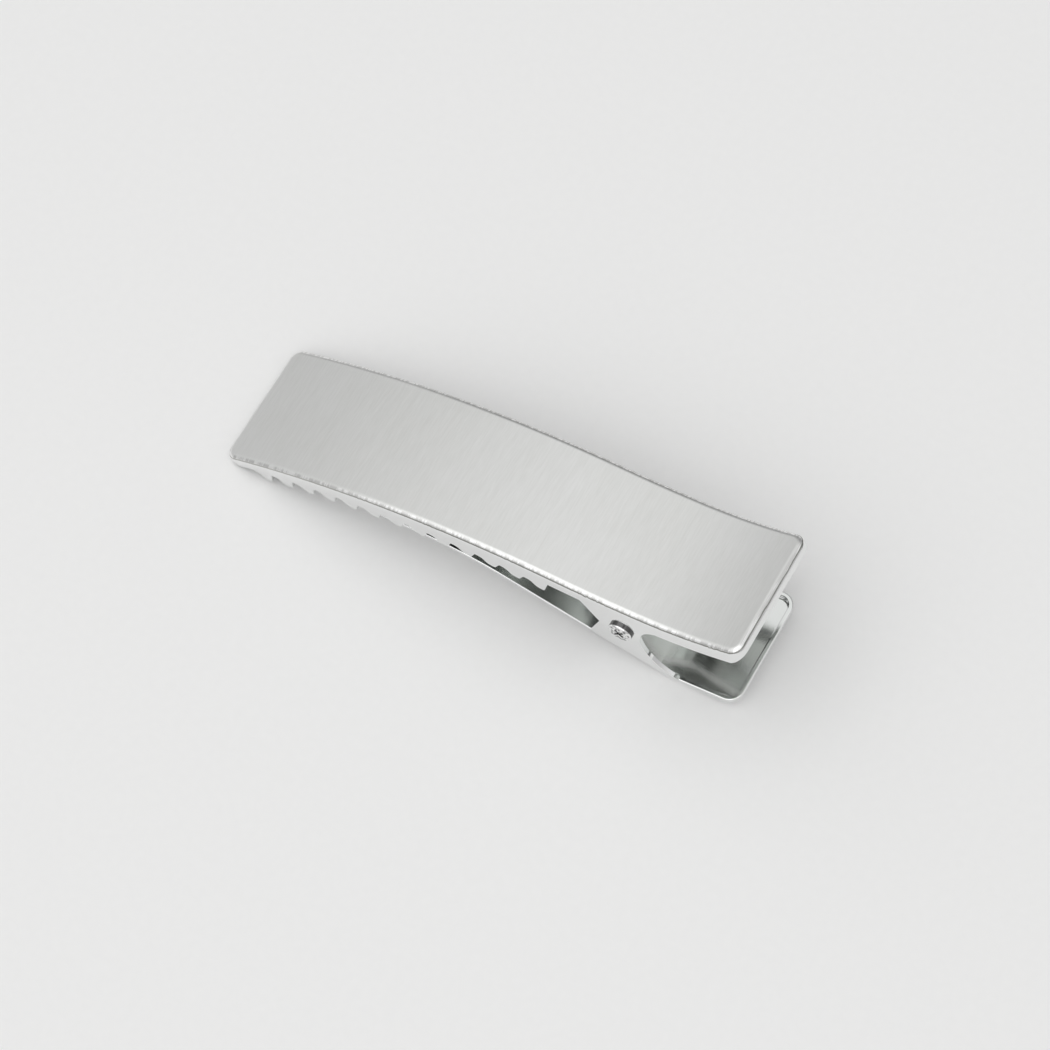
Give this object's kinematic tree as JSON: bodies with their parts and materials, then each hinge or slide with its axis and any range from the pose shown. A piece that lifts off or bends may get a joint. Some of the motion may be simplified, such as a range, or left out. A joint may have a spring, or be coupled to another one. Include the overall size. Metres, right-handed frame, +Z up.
{
  "type": "alligator hair clip",
  "caption": "Sprung hair clip of stamped steel sheet with a long arched top jaw, wave teeth, a flat lower jaw and a finger tray at the handle end.",
  "frame": {"origin": "bottom centre of the closed clip, as it lies on a table", "axes": "+X from the tip to the finger handles, +Y along the hinge pin, +Z up"},
  "size_m": [0.0694, 0.0176, 0.0186],
  "materials": {
    "brushed_jaw": "brushed across the width on top, polished on the turned-down flange",
    "polished_jaw": "mirror polished",
    "pin_steel": "polished, with a swaged head at each side",
    "spring_wire": "drawn steel wire"
  },
  "bodies": {
    "lower": {"lower_jaw": "polished_jaw", "torsion_spring": "spring_wire"},
    "upper": {"upper_jaw": "brushed_jaw", "pivot_pin": "pin_steel"}
  },
  "joints": [
    {"name": "jaw_hinge", "type": "hinge", "parent": "lower", "child": "upper", "pos_m": [0.01948, 0, 0.00934], "axis": [0, 1, 0], "range_deg": [0, 48], "stiffness_Nm_per_rad": 0.25, "springref_deg": -34.38, "deforming": ["torsion_spring"]}
  ]
}
